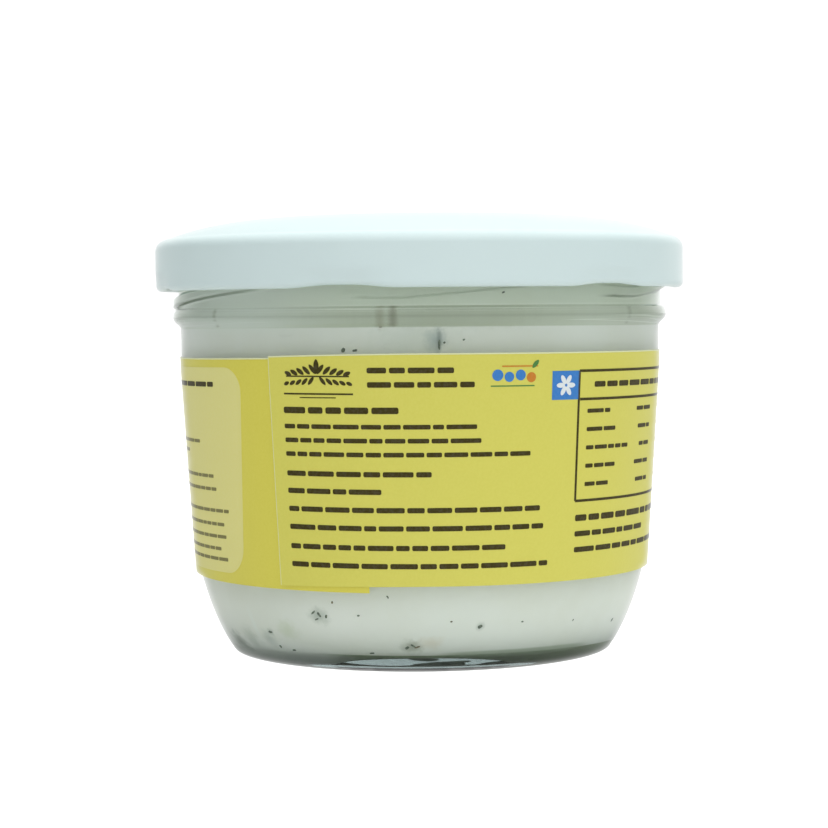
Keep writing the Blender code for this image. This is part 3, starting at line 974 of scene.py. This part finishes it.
def cheese_material():
    shader = Shader("goat_cheese")
    patches = shader.ramp(shader.noise(90, 4), 0.3, 0.7)
    curd = shader.blend(patches, (0.895, 0.90, 0.83), (0.93, 0.94, 0.89))
    # Painted light and shade by height
    height = shader.axis("Z")
    painted_light_tone = CHEESE_PAINTED_UNDER_SHADE
    for low, high, colour in CHEESE_PAINTED_LIGHT_BANDS:
        painted_light_tone = shader.blend(shader.ramp(height, low * MM, high * MM), painted_light_tone, colour)
    colour = shader.blend(1.0, curd, painted_light_tone, "MULTIPLY")
    # Painted light and shade in soft patches
    for *patch, fade, strength, shade in PAINTED_LIGHT_AND_SHADE_PATCHES:
        colour = shader.blend(shader.ramp(shader.spot(*patch), fade, 1.0, strength, 0.0), colour, shade)
    # Stains, with the painted shade and painted highlight listed above
    ragged = shader.ramp(shader.noise(900, 3), 0.3, 0.7, 0.75, 1.1)
    for *patch, strength, stain_and_painted_light in STAINS_AND_PAINTED_LIGHT:
        reach = shader.math("MULTIPLY", shader.spot(*patch), ragged)
        colour = shader.blend(shader.ramp(reach, 0.0, 1.0, strength, 0.0), colour, stain_and_painted_light)
    shader.put(Base_Color=colour, Roughness=0.5)
    shader.bump(shader.noise(500, 4), 0.2, 0.0004)
    return shader.material


def chip_material(name, dark, light):
    shader = Shader(name)
    patches = shader.ramp(shader.noise(3000, 3), 0.35, 0.65)
    shader.put(Base_Color=shader.blend(patches, dark, light), Roughness=0.6)
    shader.bump(shader.noise(4000, 2), 0.2, 0.0001)
    return shader.material


def lid_material():
    shader = Shader("lid_white_paint")
    cloud = shader.ramp(shader.noise(25, 3), 0.3, 0.7)
    white = shader.blend(cloud, (0.685, 0.805, 0.81), (0.705, 0.825, 0.835))
    # Painted shade: the top above the ring is a little darker, so that the strong light from above doesn't
    # burn it out.
    lid_top_shade_mask = shader.ramp(shader.axis("Z"), (LID_RING_HEIGHT - 0.6) * MM, (LID_RING_HEIGHT + 0.4) * MM)
    lid_top_painted_shade = shader.blend(1.0, white, (0.94, 0.945, 0.95), "MULTIPLY")
    white = shader.blend(lid_top_shade_mask, white, lid_top_painted_shade)
    shader.put(Base_Color=white, Roughness=0.35)
    shader.bump(shader.noise(1400, 2), 0.06, 0.0002)
    return shader.material


def paper_material():
    shader = Shader("label_yellow_paper")
    grain = shader.ramp(shader.noise(2600, 2), 0.3, 0.7)
    near = shader.blend(grain, (0.705, 0.655, 0.106), (0.72, 0.67, 0.116))
    far = shader.blend(grain, (0.72, 0.645, 0.078), (0.735, 0.66, 0.086))
    golden = shader.ramp(shader.attribute("turn"), 0.80, 0.90)
    shader.put(Base_Color=shader.blend(golden, near, far), Roughness=0.45)
    shader.bump(shader.noise(2500, 3), 0.05, 0.0001)
    return shader.material


def ink_material(name, colour):
    shader = Shader(name)
    lighter = tuple(mix(part, 1.0, 0.02) for part in colour)
    speckle = shader.ramp(shader.noise(2200, 2), 0.35, 0.7)
    shader.put(Base_Color=shader.blend(speckle, colour, lighter), Roughness=0.5, Specular_IOR_Level=0.15)
    return shader.material


def paper_edge_material():
    shader = Shader("label_cut_edge")
    grain = shader.ramp(shader.noise(3000, 3), 0.3, 0.7)
    shader.put(Base_Color=shader.blend(grain, (0.78, 0.77, 0.55), (0.84, 0.83, 0.66)), Roughness=0.8)
    return shader.material


def make_floor():
    """A pale floor that burns out to white before the eye, as in the photograph."""
    mesh = bpy.data.meshes.new("floor")
    corners = [Vector((x, y, 0)) * FLOOR_HALF * MM for x, y in ((-1, -1), (1, -1), (1, 1), (-1, 1))]
    mesh.from_pydata(corners, [], [(0, 1, 2, 3)])
    floor = bpy.data.objects.new("floor", mesh)
    shader = Shader("pale_floor")
    shader.put(Base_Color=(0.6, 0.6, 0.6), Roughness=0.9)
    reach = shader.length(shader.where)
    first, last, under = FLOOR_GLOW_STARTS
    starts = shader.ramp(reach, first * MM, last * MM, under, 1.0)
    near, far = FLOOR_GLOW_ENDS
    ends = shader.ramp(reach, near * MM, far * MM, FLOOR_GLOW, 0.0)
    burnt = shader.ramp(shader.ray("Is Camera Ray"), 0.0, 1.0, 0.0, SEEN_WHITE)
    left, right, dim = FLOOR_GLOW_SIDES
    sides = shader.ramp(shader.axis("X"), left * MM, right * MM, dim, 1.0)
    front, back, rest = FLOOR_GLOW_BACK
    backs = shader.ramp(shader.axis("Y"), front * MM, back * MM, 1.0, rest)
    all_round = shader.math("MULTIPLY", starts, ends)
    glow = shader.math("MULTIPLY", all_round, shader.math("MULTIPLY", sides, backs))
    shader.put(Emission_Color=(1.0, 1.0, 1.0), Emission_Strength=shader.math("ADD", glow, burnt))
    mesh.materials.append(shader.material)
    bpy.context.scene.collection.objects.link(floor)


def make_world():
    """Soft light all round: bright above, fair behind and on the right, dim in front.

    The camera itself sees plain white.
    """
    world = bpy.data.worlds.new("studio")
    bpy.context.scene.world = world
    world.use_nodes = True
    sky = Nodes(world.node_tree)
    direction = sky.nodes.new("ShaderNodeTexCoord").outputs["Generated"]
    levels = [sky.ramp(sky.part(direction, axis), *reach) for axis, *reach in WORLD_LEVELS]
    total = levels[0]
    for level in levels[1:]:
        total = sky.math("ADD", total, level)
    background = sky.nodes["Background"]
    sky.feed(background.inputs["Color"], WORLD_TINT)
    sky.feed(background.inputs["Strength"], total)
    white = sky.nodes.new("ShaderNodeBackground")
    sky.feed(white.inputs["Color"], (1.0, 1.0, 1.0))
    sky.feed(white.inputs["Strength"], SEEN_WHITE)
    choice = sky.choose(sky.ray("Is Camera Ray"), background.outputs[0], white.outputs[0])
    sky.feed(sky.nodes["World Output"].inputs["Surface"], choice)


def make_light_wrap():
    """The burnt-out surround spills softly over the jar's outline, as in the photograph."""
    scene = bpy.context.scene
    scene.use_nodes = True
    nodes, links = scene.node_tree.nodes, scene.node_tree.links
    nodes.clear()
    picture = nodes.new("CompositorNodeRLayers").outputs["Image"]
    grey = nodes.new("CompositorNodeRGBToBW")
    links.new(picture, grey.inputs[0])
    burnt = nodes.new("CompositorNodeMath")
    burnt.operation = "GREATER_THAN"
    burnt.inputs[1].default_value = BURNT_FROM
    links.new(grey.outputs[0], burnt.inputs[0])
    soft = nodes.new("CompositorNodeBlur")
    soft.filter_type = "GAUSS"
    soft.size_x = soft.size_y = WRAP_REACH
    links.new(burnt.outputs[0], soft.inputs["Image"])
    share = nodes.new("CompositorNodeMath")
    share.operation = "MULTIPLY"
    share.inputs[1].default_value = WRAP_STRENGTH
    links.new(soft.outputs[0], share.inputs[0])
    mixed = nodes.new("CompositorNodeMixRGB")
    mixed.inputs[2].default_value = (1.0, 1.0, 1.0, 1.0)
    links.new(share.outputs[0], mixed.inputs[0])
    links.new(picture, mixed.inputs[1])
    links.new(mixed.outputs[0], nodes.new("CompositorNodeComposite").inputs[0])


def make_camera():
    data = bpy.data.cameras.new("camera")
    data.sensor_width = CAMERA_SENSOR
    data.lens = CAMERA_LENS
    data.clip_start = CAMERA_NEAREST * MM
    camera = bpy.data.objects.new("camera", data)
    bpy.context.scene.collection.objects.link(camera)
    camera.location = Vector((0, -CAMERA_DISTANCE, CAMERA_HEIGHT)) * MM
    turn = Matrix.Rotation(math.radians(CAMERA_YAW_DEG), 4, "Z")
    tilt = Matrix.Rotation(math.radians(90 + CAMERA_PITCH_DEG), 4, "X")
    roll = Matrix.Rotation(math.radians(-CAMERA_ROLL_DEG), 4, "Z")
    camera.rotation_euler = (turn @ tilt @ roll).to_euler()
    bpy.context.scene.camera = camera


def dress(piece, node):
    """Lets a piece ride on the body and, where it has one, hides the solid that it stands for."""
    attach(piece, "root")
    if node:
        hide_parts(node)


def main():
    random.seed(7)
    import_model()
    bpy.context.scene.view_settings.view_transform = "Standard"
    make_camera()
    make_world()
    make_floor()
    make_light_wrap()
    dress(make_jar(), "glass_jar")
    dress(make_cheese(), "cheese")
    dress(make_lid(), "lid")
    dress(make_label(), "label")
    dress(make_print(), None)
    green = chip_material("chive_green", (0.08, 0.11, 0.08), (0.18, 0.22, 0.155))
    brown = chip_material("herb_brown", (0.12, 0.10, 0.05), (0.22, 0.18, 0.09))
    dress(make_chips("chives", CHIVES, CHIVES_BEHIND, green), None)
    dress(make_chips("herbs", HERBS, HERBS_BEHIND, brown), None)


main()
